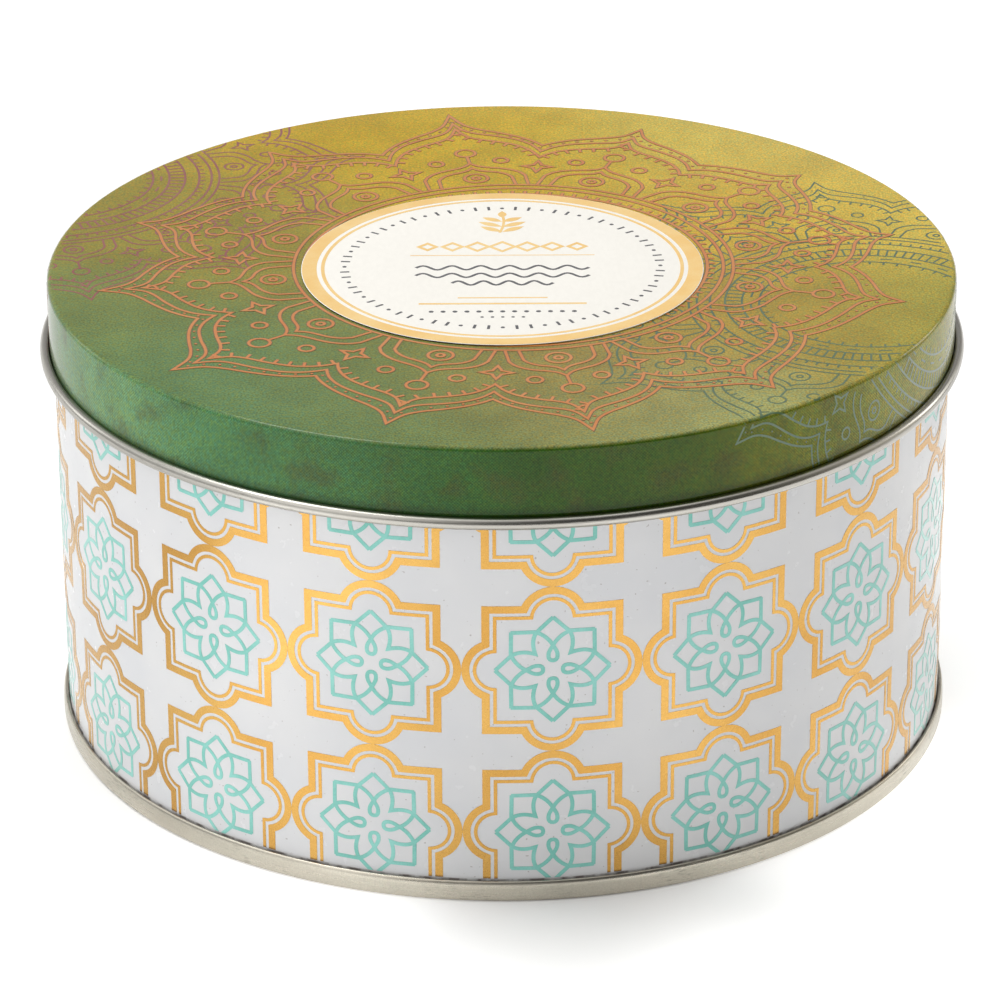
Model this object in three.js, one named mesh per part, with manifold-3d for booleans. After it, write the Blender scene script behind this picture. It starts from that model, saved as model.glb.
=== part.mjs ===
// A printed candle tin: a round slip-over lid on a rolled wall, a double-seamed base, and a poured
// candle with three wicks inside. Millimetres, +Z up, origin at the centre of the foot.
import * as THREE from "three";
import { mergeVertices } from "three/addons/utils/BufferGeometryUtils.js";
import Module from "manifold-3d";

const wasm = await Module();
wasm.setup();

// ---- driving dimensions ----------------------------------------------------------------------

const SEGMENTS = 48; // facets round every large turned piece, so that nested ones stay parallel
const SMALL_SEGMENTS = 16; // facets round a wick and its fittings

const WALL_R = 54.0; // outside of the printed wall
const SHEET = 0.2; // tinplate of the wall and the base
const CREVICE = 0.04; // play between two sheets pressed together in the seam

const RIM_TOP = 56.8; // top of the wall's rolled rim
const RIM_TUBE_R = 0.65; // outside radius of that roll

const SEAM_HEIGHT = 2.55; // the double seam round the foot
const HOOK_REACH = 1.6; // how far each hook runs up or down inside the seam
const PANEL_Z = 2.4; // middle of the base panel's sheet, recessed above the foot
const PANEL_BEAD = { from: 41.0, to: 45.0, slope: 0.6, rise: 0.4 }; // ring pressed into the panel

const LAP_SEAM = { width: 3.2, proud: 0.3, root: 0.05, bottom: 3.4, top: 54.4 }; // inside, at +Y

const LID_R = 54.5; // outside of the lid's skirt
const LID_SHEET = 0.25;
const LID_TOP = 57.1;
const LID_EDGE_R = 1.2; // outside radius where the top turns down into the skirt
const BEAD_Z = 48.1; // centre of the rolled bead at the skirt's hem
const BEAD_TUBE_R = 0.7; // outside radius of the bead's tube

const LABEL = { r: 24.1, x: 0.1, y: -1.9, bottom: 57.14, top: 57.3 }; // stuck on by hand, off centre

const WAX = { r: 53.4, bottom: 3.3, top: 37.3 };
const WICK_CIRCLE_R = 22.0; // the three wicks stand on this circle
const WICK = { count: 3, r: 1.1, top: 45.0, firstAngle: 90 };
const PAD = { r: 6.2, bottom: 2.7, top: 3.5 };
const TAB = { r: 6.4, bottom: 3.55, plateTop: 3.85, neckR: 1.9, neckTop: 8.6, bore: 1.4 };
const WAX_GAP = 0.3; // air left between the wax and whatever it is poured round

// ---- shapes ----------------------------------------------------------------------------------

// Points on an arc of the radial section, degrees counted from straight outward towards up.
function arc(centreR, centreZ, radius, from, to, steps) {
  return Array.from({ length: steps + 1 }, (_, i) => {
    const angle = THREE.MathUtils.degToRad(from + ((to - from) * i) / steps);
    return new THREE.Vector2(centreR + radius * Math.cos(angle), centreZ + radius * Math.sin(angle));
  });
}

const at = (r, z) => new THREE.Vector2(r, z);

// The closed section of a bent sheet, from the line through the middle of its thickness.
function sheetSection(middle, thickness) {
  const side = (sign) =>
    middle.map((point, i) => {
      const before = middle[Math.max(i - 1, 0)];
      const after = middle[Math.min(i + 1, middle.length - 1)];
      const into = point === before ? after.clone().sub(point) : point.clone().sub(before);
      const out = point === after ? into.clone() : after.clone().sub(point);
      const n1 = at(-into.y, into.x).normalize();
      const n2 = at(-out.y, out.x).normalize();
      const mitre = n1.clone().add(n2).divideScalar(1 + n1.dot(n2));
      return point.clone().addScaledVector(mitre, (sign * thickness) / 2);
    });
  const section = [...side(1), ...side(-1).reverse()];
  const startsOnAxis = middle[0].x === 0;
  return startsOnAxis ? section : [...section, section[0].clone()];
}

// Turns a radial section about the vertical axis, facing outwards whichever way it is listed.
function turned(section, segments = SEGMENTS) {
  const area = section.reduce((sum, p, i) => {
    const q = section[(i + 1) % section.length];
    return sum + p.x * q.y - q.x * p.y;
  }, 0);
  const points = area > 0 ? section : [...section].reverse();
  return new THREE.LatheGeometry(points, segments).rotateX(Math.PI / 2);
}

function disc(r, bottom, top, segments = SEGMENTS) {
  return turned([at(0, bottom), at(r, bottom), at(r, top), at(0, top)], segments);
}

function toSolid(geometry) {
  const bare = geometry.clone();
  bare.deleteAttribute("normal");
  bare.deleteAttribute("uv");
  const welded = mergeVertices(bare, 1e-4);
  return new wasm.Manifold(
    new wasm.Mesh({
      numProp: 3,
      vertProperties: new Float32Array(welded.attributes.position.array),
      triVerts: new Uint32Array(welded.index.array),
    }),
  );
}

function toGeometry(solid) {
  const mesh = solid.getMesh();
  const geometry = new THREE.BufferGeometry();
  geometry.setAttribute("position", new THREE.BufferAttribute(mesh.vertProperties, 3));
  geometry.setIndex(new THREE.BufferAttribute(mesh.triVerts, 1));
  geometry.computeVertexNormals();
  return geometry;
}

// ---- materials -------------------------------------------------------------------------------

const finish = (color, roughness, metalness) =>
  new THREE.MeshStandardMaterial({ color, roughness, metalness });

const printedWhite = finish(0xe2e2e6, 0.25, 0.2);
const bareTin = finish(0xb8b4a8, 0.38, 1.0);
const printedGreen = finish(0x6f8a4c, 0.3, 0.35);
const paper = finish(0xf3f0ea, 0.6, 0.0);
const wax = finish(0xf2ead6, 0.45, 0.0);
const cotton = finish(0xefe9dc, 0.95, 0.0);
const foam = finish(0xf0f0ee, 0.9, 0.0);
const compound = finish(0x4c4c4a, 0.7, 0.0);

// ---- the tin ---------------------------------------------------------------------------------

const tin = new THREE.Group();

function addPart(name, geometry, material, parent = tin) {
  const mesh = new THREE.Mesh(geometry, material);
  mesh.name = name;
  parent.add(mesh);
  return mesh;
}

// Radii of the sheets in the double seam, each the middle of its thickness, from the inside out.
const layer = SHEET + CREVICE;
const wallMid = WALL_R - SHEET / 2;
const seam = {
  chuckWall: wallMid - layer,
  endHook: wallMid + layer,
  bodyHook: wallMid + 2 * layer,
  outerWall: wallMid + 3 * layer,
  footZ: SHEET / 2,
  flangeZ: SHEET / 2 + layer,
  topZ: SEAM_HEIGHT - SHEET / 2,
};

// The wall: a hook folded out and up at the foot, and the rim rolled inwards at the top.
const rimMid = RIM_TUBE_R - SHEET / 2;
const rimZ = RIM_TOP - RIM_TUBE_R;
const wallMiddle = [
  at(seam.bodyHook, seam.flangeZ + HOOK_REACH),
  at(seam.bodyHook, seam.flangeZ),
  at(wallMid, seam.flangeZ),
  ...arc(wallMid - rimMid, rimZ, rimMid, 0, 300, 10),
];
const lapSeam = new THREE.BoxGeometry(
  LAP_SEAM.width,
  LAP_SEAM.proud + LAP_SEAM.root,
  LAP_SEAM.top - LAP_SEAM.bottom,
).translate(
  0,
  WALL_R - SHEET + (LAP_SEAM.root - LAP_SEAM.proud) / 2,
  (LAP_SEAM.top + LAP_SEAM.bottom) / 2,
);
const wallSolid = toSolid(turned(sheetSection(wallMiddle, SHEET))).add(toSolid(lapSeam));
addPart("body_wall", toGeometry(wallSolid), printedWhite);

// The base: a recessed panel with a pressed ring, then the chuck wall, foot and hooked edge.
const baseMiddle = [
  at(0, PANEL_Z),
  at(PANEL_BEAD.from, PANEL_Z),
  at(PANEL_BEAD.from + PANEL_BEAD.slope, PANEL_Z + PANEL_BEAD.rise),
  at(PANEL_BEAD.to - PANEL_BEAD.slope, PANEL_Z + PANEL_BEAD.rise),
  at(PANEL_BEAD.to, PANEL_Z),
  at(seam.chuckWall, PANEL_Z),
  at(seam.chuckWall, seam.footZ),
  at(seam.outerWall, seam.footZ),
  at(seam.outerWall, seam.topZ),
  at(seam.endHook, seam.topZ),
  at(seam.endHook, seam.topZ - HOOK_REACH),
];
addPart("base_end", turned(sheetSection(baseMiddle, SHEET)), bareTin);

// The sealing compound squeezed between the end hook's edge and the wall's flange.
const compoundBottom = seam.flangeZ + SHEET / 2 + CREVICE;
const compoundTop = seam.topZ - HOOK_REACH - CREVICE;
const compoundSection = [
  at(seam.endHook - SHEET / 2, compoundBottom),
  at(seam.endHook + SHEET / 2, compoundBottom),
  at(seam.endHook + SHEET / 2, compoundTop),
  at(seam.endHook - SHEET / 2, compoundTop),
  at(seam.endHook - SHEET / 2, compoundBottom),
];
addPart("base_seam_compound", turned(compoundSection), compound);

// The lid: a flat top, a small edge radius, a straight skirt and a bead rolled outwards.
const lid = new THREE.Group();
tin.add(lid);
const lidMid = LID_R - LID_SHEET / 2;
const lidEdgeMid = LID_EDGE_R - LID_SHEET / 2;
const beadMid = BEAD_TUBE_R - LID_SHEET / 2;
const lidMiddle = [
  at(0, LID_TOP - LID_SHEET / 2),
  ...arc(lidMid - lidEdgeMid, LID_TOP - LID_EDGE_R, lidEdgeMid, 90, 0, 4),
  ...arc(lidMid + beadMid, BEAD_Z, beadMid, 180, 475, 10),
];
addPart("lid", turned(sheetSection(lidMiddle, LID_SHEET)), printedGreen, lid);
const label = addPart("lid_label", disc(LABEL.r, LABEL.bottom, LABEL.top), paper, lid);
label.position.set(LABEL.x, LABEL.y, 0);

// The candle: three wicks in crimped tabs stuck to the base, with the wax poured round them.
const tabSection = [
  at(TAB.bore, TAB.bottom),
  at(TAB.r, TAB.bottom),
  at(TAB.r, TAB.plateTop),
  at(TAB.neckR, TAB.plateTop),
  at(TAB.neckR, TAB.neckTop),
  at(TAB.bore, TAB.neckTop),
  at(TAB.bore, TAB.bottom),
];
const wickRoom = [
  [TAB.r + WAX_GAP, TAB.plateTop + WAX_GAP],
  [TAB.neckR + WAX_GAP, TAB.neckTop + WAX_GAP],
  [WICK.r + WAX_GAP, WAX.top + 1],
];
let waxSolid = toSolid(disc(WAX.r, WAX.bottom, WAX.top));
for (let i = 0; i < WICK.count; i += 1) {
  const angle = THREE.MathUtils.degToRad(WICK.firstAngle + (360 * i) / WICK.count);
  const place = [WICK_CIRCLE_R * Math.cos(angle), WICK_CIRCLE_R * Math.sin(angle), 0];
  for (const [radius, top] of wickRoom) {
    const room = disc(radius, WAX.bottom - 1, top, SMALL_SEGMENTS).translate(...place);
    waxSolid = waxSolid.subtract(toSolid(room));
  }
  const fittings = {
    [`wick_pad_${i + 1}`]: [disc(PAD.r, PAD.bottom, PAD.top, SMALL_SEGMENTS), foam],
    [`wick_tab_${i + 1}`]: [turned(tabSection, SMALL_SEGMENTS), bareTin],
    [`wick_${i + 1}`]: [disc(WICK.r, TAB.bottom, WICK.top, SMALL_SEGMENTS), cotton],
  };
  for (const [name, [geometry, material]] of Object.entries(fittings)) {
    addPart(name, geometry, material.clone()).position.set(...place);
  }
}
addPart("wax_fill", toGeometry(waxSolid), wax);

export default tin;
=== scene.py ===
import math

import bmesh
import bpy
from mathutils import Matrix, Vector
from mathutils.geometry import delaunay_2d_cdt


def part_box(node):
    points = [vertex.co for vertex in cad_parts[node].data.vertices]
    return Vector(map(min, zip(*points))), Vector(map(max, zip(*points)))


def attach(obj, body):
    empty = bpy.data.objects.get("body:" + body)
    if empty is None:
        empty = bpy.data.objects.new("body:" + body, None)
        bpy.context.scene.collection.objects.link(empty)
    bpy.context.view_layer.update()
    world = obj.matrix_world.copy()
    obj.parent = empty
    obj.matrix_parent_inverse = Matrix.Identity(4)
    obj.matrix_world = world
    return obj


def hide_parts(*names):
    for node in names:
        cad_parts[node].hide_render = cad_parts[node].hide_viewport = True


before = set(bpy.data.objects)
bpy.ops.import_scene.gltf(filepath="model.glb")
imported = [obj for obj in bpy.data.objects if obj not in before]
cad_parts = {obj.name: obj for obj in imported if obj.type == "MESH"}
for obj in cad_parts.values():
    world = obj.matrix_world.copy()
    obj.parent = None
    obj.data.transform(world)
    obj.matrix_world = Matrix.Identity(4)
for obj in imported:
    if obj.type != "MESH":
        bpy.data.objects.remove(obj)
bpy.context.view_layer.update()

# ---- sizes, in metres, from the frame --------------------------------------------------------

MM = 0.001
TIN_SHEET = 0.20 * MM
LID_SHEET = 0.25 * MM
SEAM_LAYER = 0.24 * MM  # one sheet of the double seam and the play beside it
SEAM_LAYERS_OUTSIDE = 3
SEAM_HEIGHT = 2.55 * MM
HOOK_REACH = 1.6 * MM
FOOT_ROUND = 0.42 * MM
SHOULDER = 0.85 * MM  # height over which the seam ring rounds in to its top
RIM_TUBE_R = 0.65 * MM
BEAD_TUBE_R = 0.70 * MM
LID_EDGE_R = 0.60 * MM  # a tighter bend than the CAD lid's, inside the same outline
PANEL_Z = 2.4 * MM
PANEL_BEAD = (41.0 * MM, 45.0 * MM, 0.4 * MM)  # from, to and rise of the ring pressed in the panel
SIDE_SEAM_WIDTH = 3.2 * MM
SIDE_SEAM_BUMP = 0.3 * MM  # how far the folded side seam stands into the tin
SIDE_SEAM_GROOVE = (0.45 * MM, 0.16 * MM)  # width and depth of the line that it leaves outside
SIDE_SEAM_ENDS = (3.3 * MM, 3.5 * MM, 54.4 * MM, 54.6 * MM)  # heights between which it starts and stops
BARE_STRIP = 1.5 * MM  # half of the unprinted strip along the side seam

_, base_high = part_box("base_end")
_, wall_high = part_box("body_wall")
lid_low, lid_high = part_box("lid")
label_low, label_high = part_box("lid_label")
wax_low, wax_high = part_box("wax_fill")

WALL_R = base_high.x - SEAM_LAYERS_OUTSIDE * SEAM_LAYER
RIM_TOP = wall_high.z
LID_R = lid_high.x - (2 * BEAD_TUBE_R - LID_SHEET)
LID_TOP = lid_high.z
LID_FLAT_R = LID_R - LID_EDGE_R
BEAD_Z = lid_low.z + BEAD_TUBE_R
LABEL_R = (label_high.x - label_low.x) / 2
LABEL_AT = (label_low + label_high) / 2
WAX_R = wax_high.x
WAX_TOP = wax_high.z

RING = [math.tau * k / 192 for k in range(192)]  # directions that a turned piece is built at
SIDE_SEAM_SIDES = [0.0, 0.12, 0.23, 0.3, 1.45, 1.5, 1.6, 1.8]  # extra ones beside the seam, in mm

# ---- meshes ----------------------------------------------------------------------------------


def placed(name, mesh, body):
    """A new object of that mesh, which rides on a body."""
    made = bpy.data.objects.new(name, mesh)
    bpy.context.scene.collection.objects.link(made)
    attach(made, body)
    return made


def piece(name, body, vertices, faces, materials, pick=None, crease=35):
    """A new object that rides on a body. pick gives each face's place in the list of materials."""
    mesh = bpy.data.meshes.new(name)
    mesh.from_pydata(vertices, [], faces)
    for material in materials:
        mesh.materials.append(material)
    if pick:
        mesh.polygons.foreach_set("material_index", pick)
    work = bmesh.new()
    work.from_mesh(mesh)
    bmesh.ops.recalc_face_normals(work, faces=work.faces[:])
    work.to_mesh(mesh)
    work.free()
    mesh.shade_smooth()
    mesh.set_sharp_from_angle(angle=math.radians(crease))
    return placed(name, mesh, body)


def arc(centre_r, centre_z, radius, start, end, steps):
    """Points of a radial section on an arc, in degrees counted from straight outward towards up."""
    points = []
    for k in range(steps + 1):
        angle = math.radians(start + (end - start) * k / steps)
        points.append((centre_r + radius * math.cos(angle), centre_z + radius * math.sin(angle)))
    return points


def sheet(middle, thickness):
    """The closed section of a bent sheet, from the line through the middle of its thickness."""

    def side(sign):
        points = []
        for k, point in enumerate(middle):
            before = middle[max(k - 1, 0)]
            after = middle[min(k + 1, len(middle) - 1)]
            here = Vector(point)
            into = here - Vector(before) if k else Vector(after) - here
            out = Vector(after) - here if k < len(middle) - 1 else into
            first = Vector((-into.y, into.x)).normalized()
            second = Vector((-out.y, out.x)).normalized()
            mitre = (first + second) / (1 + first.dot(second))
            points.append(tuple(here + mitre * (sign * thickness / 2)))
        return points

    return side(1) + side(-1)[::-1]


def turned(section, directions=RING):
    """Vertices and faces of a section turned about Z, and which step of the section each face is."""
    vertices = []
    rings = []
    for radius, height in section:
        if radius < 1e-9:
            rings.append([len(vertices)] * len(directions))
            vertices.append((0, 0, height))
            continue
        rings.append(range(len(vertices), len(vertices) + len(directions)))
        vertices += [(radius * math.cos(a), radius * math.sin(a), height) for a in directions]
    if section[0][0] > 1e-9:
        rings.append(rings[0])
    faces = []
    steps = []
    for step, (ring, following) in enumerate(zip(rings, rings[1:])):
        for k in range(len(directions)):
            after = (k + 1) % len(directions)
            corners = dict.fromkeys((ring[k], ring[after], following[after], following[k]))
            if len(corners) > 2:
                faces.append(list(corners))
                steps.append(step)
    return vertices, faces, steps


# ---- flat artwork, in millimetres ------------------------------------------------------------

SHARP = 0.8  # cosine above which two stretches of a line join without a corner piece


def stroke(points, width, closed=False):
    """The polygons that a pen of that width covers along the points, with pointed corners."""
    half = width / 2
    path = [Vector(p) for p in points]
    ends = path[1:] + path[:1] if closed else path[1:]
    runs = [(a, b) for a, b in zip(path, ends) if (b - a).length > 1e-5]
    normals = [Vector((a.y - b.y, b.x - a.x)).normalized() for a, b in runs]
    polygons = []
    left = []
    for k, (_, end) in enumerate(runs):
        last = k == len(runs) - 1
        if last and not closed:
            break
        here = normals[k]
        after = normals[(k + 1) % len(runs)]
        turn = here.dot(after)
        if turn > SHARP:
            joint = (here + after) * (half / (1 + turn))
            left.append((joint, joint))
            continue
        left.append((here * half, after * half))
        reach = (here + after) * (half / max(1 + turn, 0.12))
        side = -1 if here.cross(after) > 0 else 1
        corner = [end, end + here * half * side, end + reach * side, end + after * half * side]
        polygons.append(anticlockwise(corner))
    if closed:
        starts = [pair[1] for pair in left[-1:] + left[:-1]]
        stops = [pair[0] for pair in left]
    else:
        starts = [normals[0] * half] + [pair[1] for pair in left]
        stops = [pair[0] for pair in left] + [normals[-1] * half]
    for (a, b), start, stop in zip(runs, starts, stops):
        polygons.append([a - start, b - stop, b + stop, a + start])
    return polygons


def anticlockwise(corners):
    area = sum(a.cross(b) for a, b in zip(corners, corners[1:] + corners[:1]))
    return corners if area > 0 else corners[::-1]


def towards(angle):
    return Vector((math.cos(angle), math.sin(angle)))


def circle(centre, radius, sides):
    return [Vector(centre) + towards(math.tau * k / sides) * radius for k in range(sides)]


def smooth(profile, t):
    """The value at t of a smooth curve through (t, value) points."""
    k = next((n for n in range(1, len(profile) - 1) if profile[n][0] >= t), len(profile) - 1)
    (t0, v0), (t1, v1) = profile[k - 1], profile[k]
    before = profile[max(k - 2, 0)]
    after = profile[min(k + 1, len(profile) - 1)]
    width = t1 - t0
    slope0 = (v1 - before[1]) / (t1 - before[0]) * width
    slope1 = (after[1] - v0) / (after[0] - t0) * width
    s = (t - t0) / width
    return (
        v0 * (2 * s**3 - 3 * s**2 + 1)
        + slope0 * (s**3 - 2 * s**2 + s)
        + v1 * (3 * s**2 - 2 * s**3)
        + slope1 * (s**3 - s**2)
    )


def spaced(points, spacing):
    """Places at an equal spacing along the points, each with the direction to its left."""
    found = []
    left_over = spacing / 2
    for a, b in zip(points, points[1:]):
        run = Vector(b) - Vector(a)
        while left_over < run.length:
            normal = Vector((-run.y, run.x)).normalized()
            found.append((Vector(a) + run.normalized() * left_over, normal))
            left_over += spacing
        left_over -= run.length
    return found


def union(polygons):
    """The points and the triangles of the area that the polygons cover together."""
    weld = 1e-4
    index = {}
    faces = []
    for polygon in polygons:
        keys = [(round(x / weld), round(y / weld)) for x, y in polygon]
        face = [index.setdefault(key, len(index)) for key in dict.fromkeys(keys)]
        if len(face) > 2:
            faces.append(face)
    corners = [Vector((x * weld, y * weld)) for x, y in index]
    inside_constraints = 1
    found = delaunay_2d_cdt(corners, [], faces, inside_constraints, weld / 10)
    points, _, triangles, _, _, owners = found
    return [tuple(p) for p in points], [t for t, under in zip(triangles, owners) if under]


def cut(points, triangles, planes):
    """The triangles without what lies beyond the planes, each a point and an outward direction."""
    work = bmesh.new()
    corners = [work.verts.new((*p, 0)) for p in points]
    for triangle in triangles:
        work.faces.new([corners[k] for k in triangle])
    for point, direction in planes:
        everything = work.verts[:] + work.edges[:] + work.faces[:]
        bmesh.ops.bisect_plane(
            work, geom=everything, plane_co=(*point, 0), plane_no=(*direction, 0), clear_outer=True
        )
    bmesh.ops.triangulate(work, faces=work.faces[:])
    work.verts.index_update()
    kept = [tuple(v.co.xy) for v in work.verts]
    faces = [[v.index for v in f.verts] for f in work.faces]
    work.free()
    return kept, faces


def ink(name, body, areas, surface, material, height):
    """Areas of flat artwork, each points and triangles, laid on a surface as one thin layer of ink.
    surface turns a point of the artwork into a place and the direction straight out of it."""
    sunk = 0.02 * MM
    vertices = []
    faces = []
    normals = []
    tops = 0
    sides = []
    for points, triangles in areas:
        used = sorted({k for triangle in triangles for k in triangle})
        number = {k: len(vertices) // 2 + n for n, k in enumerate(used)}
        for k in used:
            place, normal = surface(*points[k])
            vertices += [place + normal * height, place - normal * sunk]
            normals.append(normal)
        edges = dict.fromkeys(edge for a, b, c in triangles for edge in ((a, b), (b, c), (c, a)))
        faces += [[2 * number[k] for k in triangle] for triangle in triangles]
        tops += len(triangles)
        for triangle in triangles:
            sides.append([2 * number[k] + 1 for k in reversed(triangle)])
        for a, b in edges:
            if (b, a) not in edges:
                a2, b2 = 2 * number[a], 2 * number[b]
                sides.append([b2, a2, a2 + 1, b2 + 1])
    faces += sides
    mesh = bpy.data.meshes.new(name)
    mesh.from_pydata(vertices, [], faces)
    mesh.materials.append(material)
    mesh.shade_smooth()
    facing = []
    for polygon in mesh.polygons:
        top = polygon.index < tops
        facing += [normals[k // 2] if top else polygon.normal.copy() for k in polygon.vertices]
    mesh.normals_split_custom_set(facing)
    return placed(name, mesh, body)


def on_wall(across, height):
    """The wall's print: across is millimetres round the wall from the front, towards +X."""
    angle = across * MM / WALL_R
    normal = Vector((math.sin(angle), -math.cos(angle), 0))
    return normal * WALL_R + Vector((0, 0, height * MM)), normal


def on_lid(x, y):
    """The lid's print, which runs over the edge and down the skirt as the sheet was drawn."""
    out = math.hypot(x, y) * MM
    direction = Vector((x, y, 0)).normalized()
    up = Vector((0, 0, 1))
    beyond = out - LID_FLAT_R
    if beyond <= 0:
        return direction * out + up * LID_TOP, up
    bend = min(beyond / LID_EDGE_R, math.pi / 2)
    normal = direction * math.sin(bend) + up * math.cos(bend)
    down = max(beyond - LID_EDGE_R * math.pi / 2, 0)
    centre = direction * LID_FLAT_R + up * (LID_TOP - LID_EDGE_R)
    return centre + normal * LID_EDGE_R - up * down, normal


def on_label(x, y):
    """The label's print, in millimetres from the middle of the label."""
    return Vector((LABEL_AT.x + x * MM, LABEL_AT.y + y * MM, label_high.z)), Vector((0, 0, 1))


# ---- materials -------------------------------------------------------------------------------


def srgb(red, green, blue):
    """A colour as screens give it, 0 to 255, in Blender's linear numbers."""
    shares = (red / 255, green / 255, blue / 255)
    linear = [c / 12.92 if c <= 0.04045 else ((c + 0.055) / 1.055) ** 2.4 for c in shares]
    return (*linear, 1)


class Nodes:
    """A tree of shader nodes. A value given to a node is a number or another node's output."""

    def __init__(self, tree):
        self.tree = tree

    def node(self, kind, **inputs):
        made = self.tree.nodes.new(kind)
        for name, value in inputs.items():
            self.put(made.inputs[name.replace("_", " ")], value)
        return made

    def put(self, socket, value):
        if isinstance(value, bpy.types.NodeSocket):
            self.tree.links.new(value, socket)
        else:
            socket.default_value = value

    def math(self, operation, *values):
        made = self.tree.nodes.new("ShaderNodeMath")
        made.operation = operation
        for socket, value in zip(made.inputs, values):
            self.put(socket, value)
        return made.outputs[0]

    def vector(self, operation, *values, output=0):
        made = self.tree.nodes.new("ShaderNodeVectorMath")
        made.operation = operation
        for socket, value in zip(made.inputs, values):
            self.put(socket, value)
        return made.outputs[output]

    def split(self, vector):
        return self.node("ShaderNodeSeparateXYZ", Vector=vector).outputs

    def scaled(self, value, from_low, from_high, to_low, to_high):
        numbers = {"From_Min": from_low, "From_Max": from_high, "To_Min": to_low, "To_Max": to_high}
        return self.node("ShaderNodeMapRange", Value=value, **numbers).outputs[0]

    def patchwork(self, where, patches, blur):
        """Values that melt into each other, each strongest at its own place."""
        total = None
        weights = None
        for place, value in patches:
            distance = self.vector("DISTANCE", where, place, output=1)
            weight = self.math("DIVIDE", 1, self.math("ADD", self.math("POWER", distance, 4), blur))
            share = self.vector("MULTIPLY", value, self.vector("ADD", weight, (0, 0, 0)))
            total = share if total is None else self.vector("ADD", total, share)
            weights = weight if weights is None else self.math("ADD", weights, weight)
        return self.vector("DIVIDE", total, weights)


class Paint(Nodes):
    """A material: one Principled shader, and the nodes that vary it over the surface."""

    def __init__(self, name, colour, roughness, metallic=0.0, **sockets):
        self.material = bpy.data.materials.new(name)
        self.material.use_nodes = True
        super().__init__(self.material.node_tree)
        self.shader = self.tree.nodes["Principled BSDF"]
        settings = {"Base_Color": colour, "Roughness": roughness, "Metallic": metallic, **sockets}
        for socket, value in settings.items():
            self.shader.inputs[socket.replace("_", " ")].default_value = value
        self.place = self.tree.nodes.new("ShaderNodeTexCoord").outputs["Object"]
        self.bumps = None

    def noise(self, size, detail=2.0, where=None, stretch=(1, 1, 1)):
        """Noise with blotches of about that size, in metres, along the axes that stretch leaves."""
        where = self.vector("MULTIPLY", self.place if where is None else where, stretch)
        made = self.node("ShaderNodeTexNoise", Vector=where, Scale=1 / size, Detail=detail)
        return made.outputs[0]

    def mix(self, share, first, second):
        made = self.tree.nodes.new("ShaderNodeMix")
        made.data_type = "RGBA"
        factor, colour_a, colour_b = 0, 6, 7
        for socket, value in ((factor, share), (colour_a, first), (colour_b, second)):
            self.put(made.inputs[socket], value)
        return made.outputs[2]

    def round_the_tin(self):
        """Coordinates unrolled from the tin: round it, up it and out from it."""
        x, y, z = self.split(self.place)
        angle = self.math("ARCTAN2", x, self.math("MULTIPLY", y, -1))
        out = self.vector("LENGTH", self.vector("MULTIPLY", self.place, (1, 1, 0)), output=1)
        joined = self.node("ShaderNodeCombineXYZ", X=self.math("MULTIPLY", angle, WALL_R), Y=z, Z=out)
        return joined.outputs[0]

    def blotches(self, size, detail, low, high, to_low=0, to_high=1, **where):
        """Noise of which the stretch from low to high becomes to_low to to_high."""
        return self.scaled(self.noise(size, detail, **where), low, high, to_low, to_high)

    def times(self, colour, factor):
        """A colour made brighter or darker by a number that varies over the surface."""
        return self.vector("MULTIPLY", colour, self.vector("ADD", factor, (0, 0, 0)))

    def screen(self, where):
        """The rows of dots that a colour is printed in, -1 to 1."""
        x, y, _ = self.split(where)
        turns = [self.math("MULTIPLY", along, math.tau / SCREEN_PITCH) for along in (x, y)]
        waves = [self.math("SINE", turn) for turn in turns]
        return self.math("MULTIPLY", *waves)

    def colour(self, value):
        self.put(self.shader.inputs["Base Color"], value)

    def roughness(self, value):
        self.put(self.shader.inputs["Roughness"], value)

    def bump(self, height, distance, strength=1.0):
        inputs = {"Height": height, "Distance": distance, "Strength": strength}
        if self.bumps is not None:
            inputs["Normal"] = self.bumps
        self.bumps = self.node("ShaderNodeBump", **inputs).outputs[0]
        self.put(self.shader.inputs["Normal"], self.bumps)


def white_enamel():
    """The cool white ground of the wall's print, with faint mottling, a few specks, and painted shade in a
    broken dark line along the crease above the seam ring.
    """
    paint = Paint("white_enamel", srgb(207, 208, 210), 0.24, Coat_Weight=0.12, Coat_Roughness=0.08)
    mottle = paint.blotches(9 * MM, 2, 0.3, 0.7)
    ground = paint.mix(mottle, srgb(204, 205, 208), srgb(211, 211, 212))
    specks = paint.blotches(0.34 * MM, 0, 0.82, 0.86, 0, 0.45)
    ground = paint.mix(specks, ground, srgb(110, 92, 80))
    height = paint.split(paint.place)[2]
    # painted shade: a broken dark brown line along the crease where the wall meets the seam ring
    crease_shade_mask = paint.scaled(height, SEAM_HEIGHT + 0.06 * MM, SEAM_HEIGHT + 0.16 * MM, 1, 0)
    unrolled = paint.round_the_tin()
    broken = paint.blotches(2.4 * MM, 3, 0.44, 0.56, 0, 0.7, where=unrolled, stretch=(1, 0, 0))
    crease_shade = paint.math("MULTIPLY", crease_shade_mask, broken)
    paint.colour(paint.mix(crease_shade, ground, srgb(74, 52, 42)))
    paint.roughness(paint.blotches(2 * MM, 3, 0.3, 0.7, 0.2, 0.28))
    paint.bump(paint.noise(14 * MM, 1), 0.05 * MM, 0.3)
    return paint.material


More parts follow.
